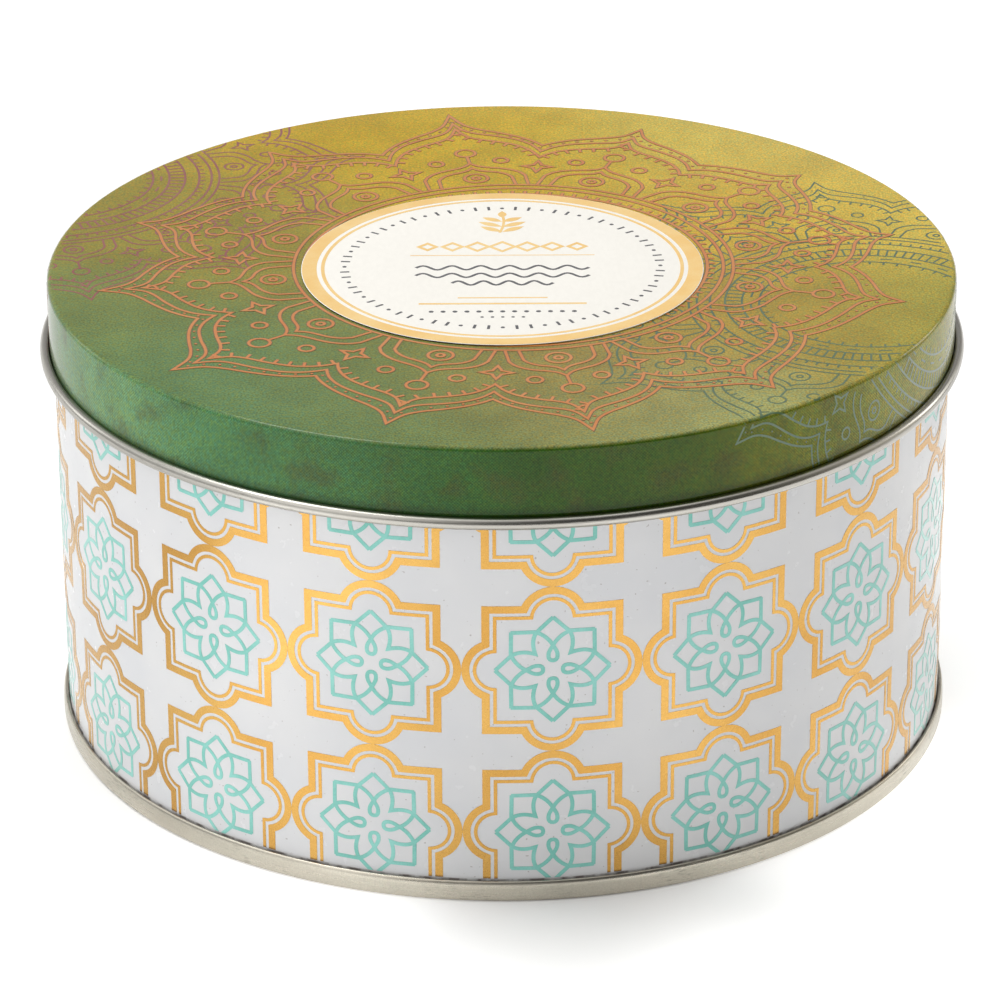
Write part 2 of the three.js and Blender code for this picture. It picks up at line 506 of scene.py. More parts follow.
def gold_ink():
    """Metallic gold ink, a little uneven where it was laid on, with painted shade darkening its foot along
    the crease above the seam ring.
    """
    paint = Paint("gold_ink", srgb(196, 150, 74), 0.26, 0.85, Coat_Weight=0.15, Coat_Roughness=0.1)
    cloud = paint.blotches(12 * MM, 2, 0.35, 0.65)
    tone = paint.mix(cloud, srgb(190, 143, 68), srgb(204, 160, 84))
    grain = paint.blotches(0.25 * MM, 1, 0.3, 0.7, 0.97, 1.03)
    tone = paint.times(tone, grain)
    height = paint.split(paint.place)[2]
    # painted shade: the gold's foot darkens to brown along the crease above the seam ring
    crease_shade_mask = paint.scaled(height, SEAM_HEIGHT + 0.2 * MM, SEAM_HEIGHT + 0.5 * MM, 0.7, 0)
    paint.colour(paint.mix(crease_shade_mask, tone, srgb(92, 58, 30)))
    paint.roughness(paint.blotches(0.6 * MM, 2, 0.3, 0.7, 0.22, 0.32))
    return paint.material


def flat_ink(name, colour, pale, metallic=0.0):
    """A line ink that lets a little of the ground through in places."""
    varnish = {"Specular_IOR_Level": 0.3, "Coat_Weight": 0.9, "Coat_Roughness": 0.1}
    paint = Paint(name, srgb(*colour), 0.34, metallic, **varnish)
    cloud = paint.blotches(5 * MM, 3, 0.35, 0.7)
    grain = paint.blotches(0.22 * MM, 1, 0.35, 0.65, -0.15, 0.15)
    paint.colour(paint.mix(paint.math("ADD", cloud, grain), srgb(*colour), srgb(*pale)))
    paint.roughness(paint.blotches(0.5 * MM, 2, 0.3, 0.7, 0.28, 0.38))
    return paint.material


def worn_tinplate(name, shade, wear):
    """Bright tinplate with rolling grain, fine scratches and darker worn patches."""
    paint = Paint(name, srgb(*shade), 0.3, 1.0)
    unrolled = paint.round_the_tin()
    grain = paint.noise(0.5 * MM, 3, unrolled, (0.03, 1, 1))
    patches = paint.blotches(6 * MM, 4, 0.42, 0.7, 0, wear * 0.4, where=unrolled, stretch=(0.4, 1, 1))
    scratches = paint.blotches(0.16 * MM, 3, 0.54, 0.66, where=unrolled, stretch=(0.12, 1, 1))
    scratched = paint.blotches(9 * MM, 2, 0.5, 0.62, 0, wear)
    nicks = paint.math("MULTIPLY", scratches, scratched)
    sparkle = paint.blotches(0.17 * MM, 1, 0.3, 0.7, 1 - 0.1 * wear, 1 + 0.1 * wear)
    dark = tuple(c * 0.45 for c in srgb(*shade)[:3]) + (1,)
    tone = paint.mix(patches, srgb(*shade), dark)
    tone = paint.mix(nicks, tone, dark)
    paint.colour(paint.times(tone, sparkle))
    smoothest = paint.scaled(grain, 0.3, 0.7, 0.2, 0.36)
    paint.roughness(paint.math("ADD", smoothest, paint.math("MULTIPLY", patches, 0.25)))
    paint.bump(grain, 0.01 * MM, 0.5)
    paint.bump(nicks, -0.02 * MM, 0.5)
    return paint.material


SCREEN_PITCH = 0.36 * MM
WASH_BLUR = 0.004
# Colours on the lid, by place in lid radii: first those printed over the top, then those down the skirt,
# which are print mixed with painted light: painted shade darker at the front and painted reflection paler
# towards the sides.
TOP_PATCHES = [
    ((0.0, 0.965), (196, 166, 40)), ((0.33, 0.91), (196, 178, 80)), ((0.68, 0.68), (196, 176, 84)),
    ((0.90, 0.33), (208, 186, 80)), ((0.91, -0.33), (152, 148, 60)), ((0.41, -0.88), (154, 162, 104)),
    ((0.0, -0.97), (108, 130, 78)), ((-0.41, -0.88), (94, 128, 82)), ((-0.69, -0.69), (92, 126, 78)),
    ((-0.91, -0.33), (110, 128, 70)), ((-0.72, 0.19), (142, 130, 46)), ((-0.33, 0.90), (180, 150, 16)),
    ((0.0, 0.69), (190, 160, 28)), ((0.63, 0.30), (196, 162, 48)), ((0.60, -0.34), (164, 136, 54)),
    ((-0.19, -0.71), (112, 122, 60)), ((0.13, -0.73), (150, 126, 62)),
]
SKIRT_PRINT_AND_SHADE = [
    ((-0.97, -0.20), (82, 104, 66)), ((-0.86, -0.50), (98, 138, 90)), ((-0.50, -0.87), (72, 118, 72)),
    ((-0.26, -0.97), (56, 98, 46)), ((0.0, -1.0), (40, 78, 14)), ((0.26, -0.97), (50, 76, 8)),
    ((0.65, -0.75), (102, 110, 24)), ((0.90, -0.43), (146, 144, 58)), ((0.97, 0.20), (142, 132, 58)),
    ((0.60, 0.80), (158, 140, 38)), ((-0.40, 0.90), (148, 126, 26)), ((-0.95, 0.30), (112, 112, 50)),
]


def lid_print():
    """Translucent green and ochre washes over tinplate, screened in fine dots under a varnish. On the
    skirt the colours also hold painted shade, darker at the front and at the hem above the bead, and
    painted reflection, paler towards the sides.
    """
    varnish = {"Coat_Weight": 1.0, "Coat_IOR": 1.3, "Coat_Roughness": 0.1}
    paint = Paint("lid_print", srgb(110, 120, 55), 0.34, Specular_IOR_Level=0.0, **varnish)
    flat = paint.vector("MULTIPLY", paint.place, (1 / LID_R, 1 / LID_R, 0))
    drift = paint.vector("ADD", paint.noise(18 * MM, 3), (-0.5, -0.5, 0))
    flat = paint.vector("ADD", flat, paint.vector("MULTIPLY", drift, (0.16, 0.16, 0)))
    # the skirt's colours are print with painted shade, darker at the front, and painted reflection, paler
    # at the sides
    top, skirt = (
        paint.patchwork(flat, [((*at, 0), srgb(*colour)[:3]) for at, colour in patches], WASH_BLUR)
        for patches in (TOP_PATCHES, SKIRT_PRINT_AND_SHADE)
    )
    height = paint.split(paint.place)[2]
    on_skirt = paint.scaled(height, LID_TOP - 0.35 * MM, LID_TOP - 0.02 * MM, 1, 0)
    wash_and_shade = paint.mix(on_skirt, top, skirt)
    stain = paint.blotches(5 * MM, 3, 0.52, 0.66, 0, 0.4)
    wash_and_shade = paint.mix(paint.math("MULTIPLY", stain, on_skirt), wash_and_shade, srgb(70, 62, 34))
    # painted shade: the foot of the skirt darkens where it turns out to the bead
    hem_shade = paint.scaled(height, BEAD_Z + 0.5 * MM, BEAD_Z + 2.0 * MM, 0.45, 0)
    wash_and_shade = paint.mix(hem_shade, wash_and_shade, srgb(24, 40, 12))
    cool = paint.vector("MULTIPLY", wash_and_shade, (0.84, 1.0, 1.25))
    warm = paint.vector("MULTIPLY", wash_and_shade, (1.20, 1.0, 0.70))
    wash_and_shade = paint.mix(paint.blotches(0.45 * MM, 3, 0.35, 0.65), cool, warm)
    cloud = paint.blotches(6 * MM, 4, 0.3, 0.7, 0.88, 1.12)
    unrolled = paint.round_the_tin()
    dots = paint.scaled(paint.screen(unrolled), -1, 1, 0.62, 1.38)
    top_dots = paint.scaled(paint.screen(paint.place), -1, 1, 0.74, 1.26)
    on_top = paint.math("SUBTRACT", 1, on_skirt)
    dots = paint.math("MULTIPLY", dots, on_skirt)
    dots = paint.math("ADD", dots, paint.math("MULTIPLY", top_dots, on_top))
    grain = paint.blotches(0.24 * MM, 1, 0.3, 0.7, 0.72, 1.28)
    tone = paint.math("MULTIPLY", paint.math("MULTIPLY", cloud, grain), dots)
    paint.colour(paint.times(wash_and_shade, tone))
    paint.roughness(paint.blotches(1.2 * MM, 3, 0.3, 0.7, 0.28, 0.40))
    paint.bump(paint.noise(16 * MM, 1), 0.06 * MM, 0.4)
    return paint.material


def paper():
    """Uncoated cream paper with a faint tooth."""
    paint = Paint("label_paper", srgb(243, 240, 234), 0.6, Sheen_Weight=0.05)
    fibres = paint.noise(0.5 * MM, 4, stretch=(1, 0.4, 1))
    share = paint.scaled(fibres, 0.35, 0.65, 0, 1)
    paint.colour(paint.mix(share, srgb(243, 240, 233), srgb(246, 243, 236)))
    paint.bump(fibres, 0.02 * MM, 0.5)
    return paint.material


def shaded_paper_edge():
    """The label's cut edge, with painted shade dark on its left side fading to a painted highlight pale on
    its right.
    """
    paint = Paint("label_edge_shade", srgb(120, 100, 70), 0.8)
    across = paint.scaled(paint.split(paint.place)[0], -2 * MM, 14 * MM, 0, 1)
    # painted shade at the left of the edge, painted highlight at the right
    paint.colour(paint.mix(across, srgb(44, 40, 24), srgb(226, 204, 150)))
    return paint.material


def soft_wax():
    """Ivory soy wax: cloudy, slightly frosted, and lit from within."""
    glow = {"Subsurface_Weight": 0.35, "Subsurface_Scale": 0.004, "Subsurface_Radius": (1.0, 0.7, 0.45)}
    paint = Paint("soft_wax", srgb(240, 230, 208), 0.42, **glow)
    frost = paint.blotches(11 * MM, 5, 0.42, 0.7)
    paint.colour(paint.mix(frost, srgb(238, 227, 203), srgb(248, 242, 228)))
    paint.roughness(paint.blotches(5 * MM, 4, 0.3, 0.7, 0.34, 0.52))
    paint.bump(paint.noise(4 * MM, 3), 0.12 * MM, 0.5)
    return paint.material


def cotton():
    """Waxed cotton yarn, with its fibres running along the strands."""
    paint = Paint("wick_cotton", srgb(238, 232, 218), 0.85, Sheen_Weight=0.3)
    fibres = paint.noise(0.12 * MM, 3, stretch=(1, 1, 0.25))
    paint.colour(paint.mix(paint.scaled(fibres, 0.3, 0.7, 0, 1), srgb(222, 213, 195), srgb(246, 242, 232)))
    paint.bump(fibres, 0.04 * MM, 0.6)
    return paint.material


def closed_cell_foam():
    """White foam with small round cells."""
    paint = Paint("pad_foam", srgb(238, 238, 234), 0.9)
    cells = paint.node("ShaderNodeTexVoronoi", Vector=paint.place, Scale=1 / (0.35 * MM)).outputs[0]
    paint.colour(paint.mix(paint.scaled(cells, 0, 0.6, 0, 1), srgb(222, 222, 216), srgb(244, 244, 241)))
    paint.bump(cells, 0.08 * MM, 0.6)
    return paint.material


def rubbery_compound():
    """The grey sealing compound, matt and slightly lumpy."""
    paint = Paint("seam_compound", srgb(88, 88, 86), 0.7)
    lumps = paint.noise(0.6 * MM, 3)
    paint.colour(paint.mix(paint.scaled(lumps, 0.3, 0.7, 0, 1), srgb(72, 72, 70), srgb(104, 104, 100)))
    paint.bump(lumps, 0.05 * MM, 0.5)
    return paint.material


enamel = white_enamel()
gold = gold_ink()
teal = flat_ink("teal_ink", (102, 182, 169), (132, 202, 192))
bare_tin = worn_tinplate("bare_tinplate", (186, 182, 174), 0.3)
lid_tin = worn_tinplate("lid_tinplate", (174, 171, 164), 0.3)
ring_tin = worn_tinplate("ring_tinplate", (196, 190, 176), 0.7)
tab_tin = worn_tinplate("tab_tinplate", (200, 198, 194), 0.2)
printed_green = lid_print()

# ---- the wall and the base -------------------------------------------------------------------


def seam_directions():
    """The directions of a turned piece, with more of them beside the side seam at +Y."""
    beside = [side * s * MM / WALL_R for s in SIDE_SEAM_SIDES for side in (-1, 1)]
    return sorted({round(a, 6) for a in RING + [math.pi / 2 + b for b in beside]})


def press_side_seam(vertices):
    """Folds the side seam into a plain wall: a groove outside, a raised band inside."""
    groove_width, groove_depth = SIDE_SEAM_GROOVE
    pressed = []
    for x, y, z in vertices:
        out = math.hypot(x, y)
        beside = abs(x)
        seamed = y > 0 and SEAM_HEIGHT < z < RIM_TOP - 2 * RIM_TUBE_R
        shift = 0.0
        if seamed and abs(out - WALL_R) < TIN_SHEET / 4:
            shift = groove_depth * max(0.0, 1 - 2 * beside / groove_width)
        elif seamed and abs(out - WALL_R + TIN_SHEET) < TIN_SHEET / 4:
            inside = (SIDE_SEAM_WIDTH / 2 + 0.1 * MM - beside) / (0.15 * MM)
            shift = SIDE_SEAM_BUMP * min(1.0, max(0.0, inside))
        pressed.append((x * (1 - shift / out), y * (1 - shift / out), z))
    return pressed


def make_wall():
    middle_r = WALL_R - TIN_SHEET / 2
    rim = RIM_TUBE_R - TIN_SHEET / 2
    flange = TIN_SHEET / 2 + SEAM_LAYER
    hook_r = middle_r + 2 * SEAM_LAYER
    middle = [(hook_r, flange + HOOK_REACH), (hook_r, flange), (middle_r, flange)]
    middle += [(middle_r, z) for z in (2.0 * MM, *SIDE_SEAM_ENDS)]
    middle += arc(middle_r - rim, RIM_TOP - RIM_TUBE_R, rim, 0, 300, 26)
    vertices, faces, _ = turned(sheet(middle, TIN_SHEET), seam_directions())
    vertices = press_side_seam(vertices)
    pick = []
    for face in faces:
        centre = sum((Vector(vertices[k]) for k in face), Vector()) / len(face)
        outside = math.hypot(centre.x, centre.y) > WALL_R - TIN_SHEET / 3
        strip = centre.y > 0 and abs(centre.x) < BARE_STRIP
        under_curl = centre.z < RIM_TOP - 2 * RIM_TUBE_R
        pick.append(0 if outside and under_curl and not strip else 1)
    wall = piece("wall_shell", "tin", vertices, faces, [enamel, bare_tin], pick)
    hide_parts("body_wall")


def make_base():
    """The base: a panel with a pressed ring, and a rounded foot that runs up into the double seam."""
    chuck = WALL_R - TIN_SHEET / 2 - SEAM_LAYER
    outer = WALL_R - TIN_SHEET / 2 + SEAM_LAYERS_OUTSIDE * SEAM_LAYER
    hook = WALL_R - TIN_SHEET / 2 + SEAM_LAYER
    foot = TIN_SHEET / 2
    top = SEAM_HEIGHT - TIN_SHEET / 2
    bead_from, bead_to, rise = PANEL_BEAD
    middle = [(0, PANEL_Z), (bead_from * 0.5, PANEL_Z)]
    bead_steps = 16
    for k in range(bead_steps + 1):
        share = k / bead_steps
        lift = rise * (1 - math.cos(math.tau * share)) / 2
        middle.append((bead_from + (bead_to - bead_from) * share, PANEL_Z + min(lift * 1.5, rise)))
    round_in = 0.5 * MM
    middle += arc(chuck - round_in, PANEL_Z - round_in, round_in, 90, 0, 6)
    middle += arc(chuck + FOOT_ROUND, foot + FOOT_ROUND, FOOT_ROUND, 180, 270, 6)
    middle += arc(outer - FOOT_ROUND, foot + FOOT_ROUND, FOOT_ROUND, 270, 360, 6)
    lip = (outer - hook) / 2
    for radius, height in arc(0, 0, 1, 0, 90, 8):
        middle.append((outer - lip + lip * radius, top - SHOULDER + SHOULDER * height))
    middle += arc(hook + lip, top - lip, lip, 90, 180, 5)[1:]
    middle.append((hook, top - HOOK_REACH))
    vertices, faces, _ = turned(sheet(middle, TIN_SHEET))
    base = piece("base_shell", "tin", vertices, faces, [ring_tin])
    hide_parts("base_end")


# ---- the wall's print ------------------------------------------------------------------------

TILE = 20.67  # height and width of one framed rosette, in millimetres
PRINT_STARTS = 5.56  # where the middle of the front column stands, in millimetres round the wall
ROW_MIDDLES = (50.11, 29.44, 8.77)
PRINT_BOTTOM = 2.72
PRINT_TOP = 55.2
COLUMNS_EACH_WAY = 9
# In tiles: a square with half-round lobes.
SQUARE_HALF = 0.389
LOBE_AT = 0.311
LOBE_R = 0.189
BAND = 0.0436
LINE_INSET = 0.0625
LINE = 0.0195
ROSETTE_PEN = 0.0225


def frame_outline(inset):
    """The frame's outline moved inwards, in tiles: each side's lobe and then its corner."""
    half = SQUARE_HALF - inset
    lobe = LOBE_R - inset
    opening = math.acos((half - LOBE_AT) / lobe)
    straight = [lobe * math.sin(opening) * (1 - share) + half * share for share in (0.3, 0.65)]
    side = [(half, along) for along in straight] + [(half, half)]
    side += [(along, half) for along in reversed(straight)]
    points = []
    for quarter in range(4):
        turn = Matrix.Rotation(quarter * math.pi / 2, 2)
        for k in range(17):
            angle = opening * (k / 8 - 1)
            points.append(turn @ Vector((LOBE_AT + lobe * math.cos(angle), lobe * math.sin(angle))))
        points += [turn @ Vector(p) for p in side]
    return points


def bezier(start, first, second, end, steps):
    """Points on a cubic curve, without its start."""
    points = []
    for k in range(1, steps + 1):
        t = k / steps
        s = 1 - t
        points.append(
            Vector(start) * s**3
            + Vector(first) * (3 * s * s * t)
            + Vector(second) * (3 * s * t * t)
            + Vector(end) * t**3
        )
    return points


def rosette_lines():
    """The rosette's lines in tiles: four looped ones between corners, and four pointed ones."""
    corner = Vector((0.231, 0.228))
    shoulder = Vector((0.10, 0.230))
    neck = Vector((0.0, 0.146))
    loop_bottom = Vector((0.0, 0.054))
    side = [corner, corner.lerp(shoulder, 0.5), shoulder]
    side += bezier(shoulder, (0.062, 0.222), (0.018, 0.184), neck, 7)
    side += bezier(neck, (-0.014, 0.122), (-0.026, 0.108), (-0.025, 0.082), 5)
    side += bezier((-0.025, 0.082), (-0.025, 0.062), (-0.014, 0.054), loop_bottom, 4)
    looped = side + [Vector((-p.x, p.y)) for p in side[-2::-1]]
    tip = Vector((0.0, 0.316))
    crossing = Vector((0.092, 0.226))
    inner = Vector((0.097, 0.097))
    half = [tip, tip.lerp(crossing, 0.5), crossing]
    half += bezier(crossing, (0.112, 0.190), (0.114, 0.150), inner, 7)
    pointed = half + [Vector((p.y, p.x)) for p in half[-2::-1]]
    lines = []
    for quarter in range(4):
        turn = Matrix.Rotation(quarter * math.pi / 2, 2)
        lines.append([turn @ p for p in looped])
        lines.append([turn @ p for p in pointed])
    return lines


def repeated(polygons):
    """One column of tiles, repeated round the wall and cut at the side seam."""
    points, triangles = union(polygons)
    points, triangles = cut(points, triangles, [((0, PRINT_TOP), (0, 1)), ((0, PRINT_BOTTOM), (0, -1))])
    edge = (math.pi * WALL_R - BARE_STRIP) / MM
    areas = []
    for column in range(-COLUMNS_EACH_WAY, COLUMNS_EACH_WAY + 1):
        shift = PRINT_STARTS + column * TILE
        moved = [(x + shift, y) for x, y in points]
        if abs(shift) + TILE / 2 < edge:
            areas.append((moved, triangles))
        elif abs(shift) - TILE / 2 < edge:
            areas.append(cut(moved, triangles, [((edge, 0), (1, 0)), ((-edge, 0), (-1, 0))]))
    return areas


def make_wall_print():
    def in_rows(line):
        return [[Vector((0, middle)) + p * TILE for p in line] for middle in ROW_MIDDLES]

    bands = []
    for line in in_rows(frame_outline(BAND / 2)):
        bands += stroke(line, BAND * TILE, closed=True)
    lines = []
    for line in in_rows(frame_outline(LINE_INSET + LINE / 2)):
        lines += stroke(line, LINE * TILE, closed=True)
    rosettes = []
    for drawn in rosette_lines():
        for line in in_rows(drawn):
            rosettes += stroke(line, ROSETTE_PEN * TILE)
    layer = 0.025 * MM
    ink("wall_gold_bands", "tin", repeated(bands), on_wall, gold, layer)
    ink("wall_gold_lines", "tin", repeated(lines), on_wall, gold, layer)
    ink("wall_rosettes", "tin", repeated(rosettes), on_wall, teal, layer)


# ---- the lid ---------------------------------------------------------------------------------


def make_lid():
    middle_r = LID_R - LID_SHEET / 2
    edge = LID_EDGE_R - LID_SHEET / 2
    bead = BEAD_TUBE_R - LID_SHEET / 2
    top = LID_TOP - LID_SHEET / 2
    middle = [(0, top)] + [(r * MM, top) for r in (12, 25, 38, 48)]
    middle += arc(middle_r - edge, LID_TOP - LID_EDGE_R, edge, 90, 0, 10)
    last_printed = len(middle)
    middle += arc(middle_r + bead, BEAD_Z, bead, 180, 475, 26)
    vertices, faces, steps = turned(sheet(middle, LID_SHEET))
    pick = [0 if step <= last_printed else 1 for step in steps]
    lid = piece("lid_shell", "lid", vertices, faces, [printed_green, lid_tin], pick)
    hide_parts("lid")


# Height along a petal's edge, from its tip at 0 to the valley at 1: outer line, inner lines, scallop.
OUTER_LINE = [(0, 1), (0.1, 0.70), (0.25, 0.53), (0.45, 0.41), (0.7, 0.26), (0.88, 0.12), (1, 0)]
INNER_LINE = [(0, 1), (0.08, 0.77), (0.2, 0.64), (0.45, 0.52), (0.7, 0.38), (0.88, 0.2), (1, 0)]
SCALLOP = [(0, 1), (0.1, 0.88), (0.25, 0.80), (0.6, 0.69), (0.85, 0.51), (0.96, 0.28), (1, 0)]


class Mandala:
    """A drawn flower: rings, scallops, stars and a border of pointed petals, in its own radius."""

    def __init__(self, centre, radius, tips, pen):
        self.centre = Vector(centre)
        self.radius = radius
        self.tips = tips
        self.pen = pen
        self.polygons = []

    def at(self, reach, degrees):
        return self.centre + towards(math.radians(degrees)) * (reach * self.radius)

    def draw(self, points, closed=False):
        self.polygons += stroke(points, self.pen, closed)

    def dot(self, place, radius):
        self.polygons.append(circle(place, radius, 7))

    def ring(self, place, radius, sides=16):
        self.draw(circle(place, radius * self.radius, sides), closed=True)

    def sectors(self):
        """Each petal's tip, and the directions of its tip and of the valleys beside it."""
        count = len(self.tips)
        for k, (direction, tip) in enumerate(self.tips):
            before = (self.tips[k - 1][0] - direction) % -360
            after = (self.tips[(k + 1) % count][0] - direction) % 360
            yield tip, direction + before / 2, direction, direction + after / 2

    def petal(self, profile, tip, valley, start, middle, end, steps=22):
        points = []
        for k in range(-steps, steps + 1):
            share = (abs(k) / steps) ** 1.3
            side = start if k < 0 else end
            reach = valley + (tip - valley) * smooth(profile, share)
            points.append(self.at(reach, middle + (side - middle) * share))
        return points

    def border(self, profile, inset, valley):
        """One closed line round all petals."""
        line = []
        for tip, start, middle, end in self.sectors():
            line += self.petal(profile, tip - inset, valley, start, middle, end)[:-1]
        return line

    def petals(self):
        outer = self.border(OUTER_LINE, 0, 0.742)
        second = self.border(INNER_LINE, 0.056, 0.703)
        third = self.border(INNER_LINE, 0.093, 0.664)
        for line in (outer, second, third):
            self.draw(line, closed=True)
        for place, inward in spaced(third, 0.033 * self.radius):
            self.draw([place, place + inward * 0.021 * self.radius])
        between = [a.lerp(b, 0.5) for a, b in zip(outer, second)]
        for place, _ in spaced(between, 0.034 * self.radius):
            self.dot(place, 0.48 * self.pen)

    def blossoms(self):
        for _, start, middle, end in self.sectors():
            self.draw(self.petal(SCALLOP, 0.628, 0.488, start + 1.2, middle, end - 1.2, 14))
            self.draw(self.petal(SCALLOP, 0.598, 0.488, start + 4.6, middle, end - 4.6, 12))
            eye = self.at(0.532, middle)
            self.ring(eye, 0.027)
            self.ring(eye, 0.0085, 9)
            self.draw([self.at(0.622, middle), self.at(0.672, middle)])
            self.ring(self.at(0.695, middle), 0.023)
            for side in (start, end):
                self.ring(self.at(0.642, middle + (side - middle) * 0.46), 0.0165, 12)
            self.star(self.at(0.603, end), end)

    def star(self, place, direction):
        points = []
        for k in range(16):
            reach = (0.034, 0.019, 0.0135, 0.019)[k % 4] * self.radius
            points.append(place + towards(math.radians(direction + k * 22.5)) * reach)
        self.draw(points, closed=True)

    def rings(self):
        """The rings round the heart of the flower, with ticks, hatching and dashes."""
        for reach in (0.484, 0.462, 0.427, 0.387, 0.342, 0.296):
            self.ring(self.centre, reach, 120)
        for k in range(96):
            degrees = k * 3.75
            self.draw([self.at(0.427, degrees), self.at(0.444, degrees)])
            self.draw([self.at(0.343, degrees), self.at(0.386, degrees)])
            if k % 2:
                self.draw([self.at(0.296, degrees), self.at(0.278, degrees)])
            if k % 4 == 0:
                self.draw([self.at(0.319, degrees + turn) for turn in (0, 3, 6)])


PETAL_TIPS = [
    (11, 0.86), (39, 0.85), (70, 0.89), (99, 0.95), (129, 0.90), (163, 0.88),
    (189, 0.91), (219, 0.92), (253, 0.90), (280, 0.91), (308, 0.87), (345, 0.87),
]


def even_petals(turn):
    return [(turn + 30 * k, 0.9) for k in range(12)]


def kept_on_lid(polygons):
    """Leaves out what the label would hide and what would lie beyond the skirt's printed part."""
    printed = (LID_FLAT_R + LID_EDGE_R * math.pi / 2 + LID_TOP - LID_EDGE_R - BEAD_Z - 0.25 * MM) / MM
    label = Vector((LABEL_AT.x, LABEL_AT.y)) / MM
    hidden = LABEL_R / MM - 0.5
    kept = []
    for polygon in polygons:
        on_skirt = all(p.length < printed for p in polygon)
        covered = all((p - label).length < hidden for p in polygon)
        if on_skirt and not covered:
            kept.append(polygon)
    return kept


def make_lid_print():
    unit = LID_R / MM
    ornaments = [
        ("lid_ornament_violet", (-1.04, 0.505), 0.81, even_petals(12), violet, 0.28, 0.012),
        ("lid_ornament_blue", (0.795, -0.25), 0.81, even_petals(6), blue, 0.25, 0.012),
        # the wider dark copper under the mandala's lines is painted shade: a dark rim on both sides of
        # each line, so that the lines look raised
        ("lid_mandala_shade", (0.026, -0.015), 1.0, PETAL_TIPS, copper_shade, 0.52, 0.024),
        ("lid_mandala", (0.026, -0.015), 1.0, PETAL_TIPS, copper, 0.34, 0.04),
    ]
    for name, (x, y), scale, tips, material, pen, layer in ornaments:
        flower = Mandala((x * unit, y * unit), scale * unit, tips, pen)
        flower.petals()
        flower.blossoms()
        flower.rings()
        area = union(kept_on_lid(flower.polygons))
        ink(name, "lid", [area], on_lid, material, layer * MM)


copper = flat_ink("copper_ink", (214, 124, 42), (222, 142, 66), 0.2)
# painted shade for the rim round the copper lines
copper_shade = flat_ink("copper_shade_ink", (112, 78, 34), (128, 96, 48))
violet = flat_ink("violet_ink", (140, 60, 56), (150, 88, 72))
blue = flat_ink("blue_ink", (64, 94, 62), (88, 110, 70))

# ---- the label -------------------------------------------------------------------------------


def leaf(foot, tip, width):
    """A pointed leaf between two points."""
    foot, tip = Vector(foot), Vector(tip)
    along = tip - foot
    across = Vector((-along.y, along.x)).normalized() * width / 2
    shares = [k / 8 for k in range(9)]
    lower = [foot + along * s - across * math.sin(math.pi * s) for s in shares]
    upper = [foot + along * s + across * math.sin(math.pi * s) for s in reversed(shares[1:-1])]
    return lower + upper


def wave(middle, half_width, rise, count):
    points = []
    for k in range(12 * count + 1):
        share = k / (12 * count)
        x = -half_width + 2 * half_width * share
        points.append((x, middle + rise * math.sin(math.tau * count * share)))
    return points


def on_paper(name, polygons, material):
    """Prints artwork that is drawn in label radii."""
    full_size = [[Vector(p) * (LABEL_R / MM) for p in polygon] for polygon in polygons]
    ink(name, "lid", [union(full_size)], on_label, material, 0.012 * MM)


def make_label():
    """The label: cream paper with a gilt edge and plain generic ornament in place of any wording."""
    section = [(0, label_low.z), (LABEL_R, label_low.z)]
    section += arc(LABEL_R - 0.06 * MM, label_high.z - 0.06 * MM, 0.06 * MM, 0, 90, 4)
    section += [(LABEL_R * 0.5, label_high.z), (0, label_high.z)]
    vertices, faces, steps = turned(section)
    pick = [1 if step in (1, 2) else 0 for step in steps]
    shift = Vector((LABEL_AT.x, LABEL_AT.y, 0))
    vertices = [Vector(v) + shift for v in vertices]
    disc = piece("label_disc", "lid", vertices, faces, [paper(), shaded_paper_edge()], pick)
    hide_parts("lid_label")

    gilt = stroke(circle((0, 0), 0.9595, 128), 0.073, closed=True)
    gilt += stroke(circle((0, 0), 0.893, 128), 0.018, closed=True)
    gilt += stroke(bezier((-0.02, 0.42), (0.0, 0.5), (0.02, 0.58), (0.0, 0.70), 8), 0.014)
    for k, (height, reach) in enumerate([(0.46, 0.11), (0.53, 0.12), (0.60, 0.10)]):
        for side in (-1, 1):
            gilt.append(leaf((0, height), (side * reach, height + 0.075 - 0.008 * k), 0.045))
    gilt.append(leaf((0, 0.655), (0, 0.745), 0.045))
    for half_width, height, pen in ((0.46, 0.145, 0.008), (0.22, -0.41, 0.012), (0.41, -0.485, 0.018)):
        gilt += stroke([(-half_width, height), (half_width, height)], pen)
    for k in range(-3, 4):
        size = 0.062 - 0.006 * abs(k)
        gilt += stroke(circle((k * 0.125, 0.26), size, 4), 0.02, closed=True)
    on_paper("label_gilding", gilt, gilding)

    grey = []
    for k in range(72):
        place = towards(math.tau * k / 72)
        if k % 3 == 0:
            grey.append(circle(place * 0.785, 0.011, 8))
        else:
            grey += stroke([place * 0.762, place * 0.808], 0.014)
    for middle, half_width, count in ((-0.02, 0.43, 6), (-0.12, 0.43, 6), (-0.22, 0.25, 4)):
        grey += stroke(wave(middle, half_width, 0.026, count), 0.017)
    for count, spacing, height, size in ((6, 0.058, -0.585, 0.013), (2, 0.05, -0.655, 0.009)):
        for k in range(-count, count + 1):
            grey.append(circle((k * spacing, height), size, 8))
    on_paper("label_ornament", grey, grey_ink)


gilding = flat_ink("gilding", (250, 204, 118), (254, 218, 146))
grey_ink = flat_ink("grey_ink", (66, 66, 72), (88, 88, 92))

# ---- the candle ------------------------------------------------------------------------------


